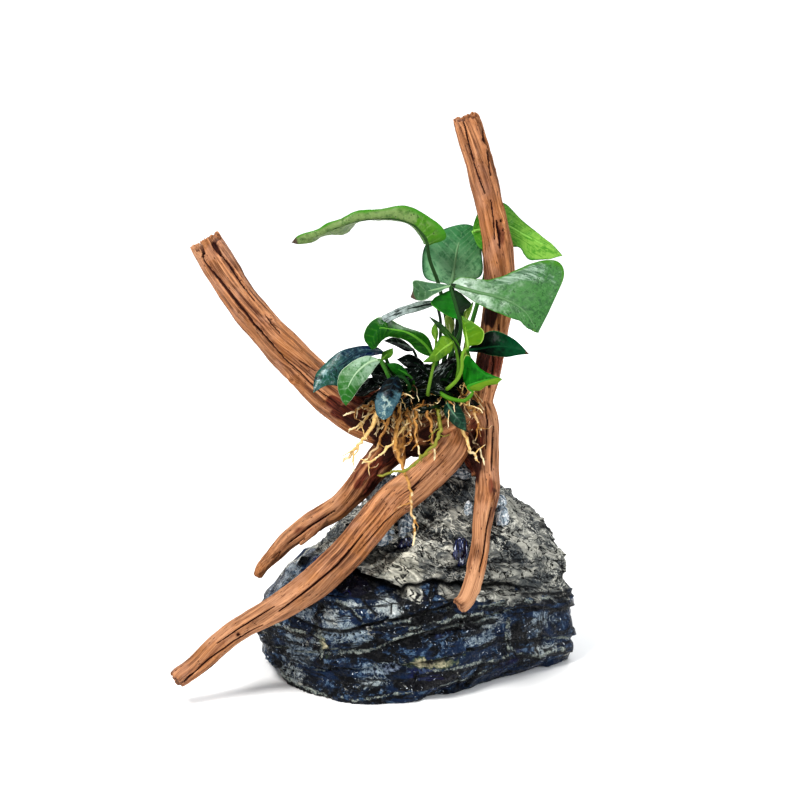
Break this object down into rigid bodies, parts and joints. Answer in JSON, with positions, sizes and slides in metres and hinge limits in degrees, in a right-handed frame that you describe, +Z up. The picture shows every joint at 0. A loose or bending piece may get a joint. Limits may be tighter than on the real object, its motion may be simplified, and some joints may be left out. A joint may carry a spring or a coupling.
{
  "type": "anubias on stone",
  "caption": "Anubias plant with hanging roots on a forked piece of driftwood, fixed with clear glue to a layered dark stone that rests on its flat underside.",
  "frame": {"origin": "centre of the stone's flat underside, at the surface it rests on", "axes": "+Z up, +X towards the leg on the stone's right as seen from the front, -Y towards the front, where the lowest branch points"},
  "size_m": [0.2011, 0.115, 0.281],
  "materials": {
    "stone": "rough layered rock, dark blue below and grey above",
    "wood": "bare weathered driftwood, reddish tan",
    "rhizome": "dull green stem",
    "leaf": "waxy green leaf",
    "root": "pale ochre root",
    "glue": "clear set glue"
  },
  "bodies": {
    "root": {"stone": "stone", "wood_crown": "wood", "upper_left_branch": "wood", "upper_right_branch": "wood", "front_left_branch": "wood", "back_left_branch": "wood", "right_leg": "wood", "rear_foot": "wood", "rhizome": "rhizome", "leaf_long_arched": "leaf", "leaf_round_back": "leaf", "leaf_bright_back": "leaf", "leaf_big_right": "leaf", "leaf_grey_left": "leaf", "leaf_green_underside": "leaf", "leaf_grey_strap": "leaf", "leaf_arched_green": "leaf", "leaf_navy_long": "leaf", "leaf_grey_oval": "leaf", "leaf_navy_oval": "leaf", "leaf_small_inner": "leaf", "leaf_small_lime": "leaf", "leaf_dark_narrow": "leaf", "leaf_yellow_curl": "leaf", "leaf_small_lobe": "leaf", "leaf_pale_round": "leaf", "leaf_dark_right": "leaf", "leaf_lower_right": "leaf", "leaf_hanging_dark": "leaf", "shoot_pale_right": "leaf", "shoot_pale_left": "leaf", "leaf_dark_centre": "leaf", "leaf_dark_crown": "leaf", "leaf_dark_strip": "leaf", "root_long_front": "root", "root_green_runner": "root", "root_left_thick": "root", "root_left_short": "root", "root_left_hanging": "root", "root_crossing": "root", "root_right_thick": "root", "root_right_yellow": "root", "root_right_straight": "root", "root_far_left": "root", "root_centre_short": "root", "root_centre_left": "root", "root_centre_right": "root", "glue_under_foot": "glue", "glue_left": "glue", "glue_beside_leg": "glue"}
  },
  "joints": []
}
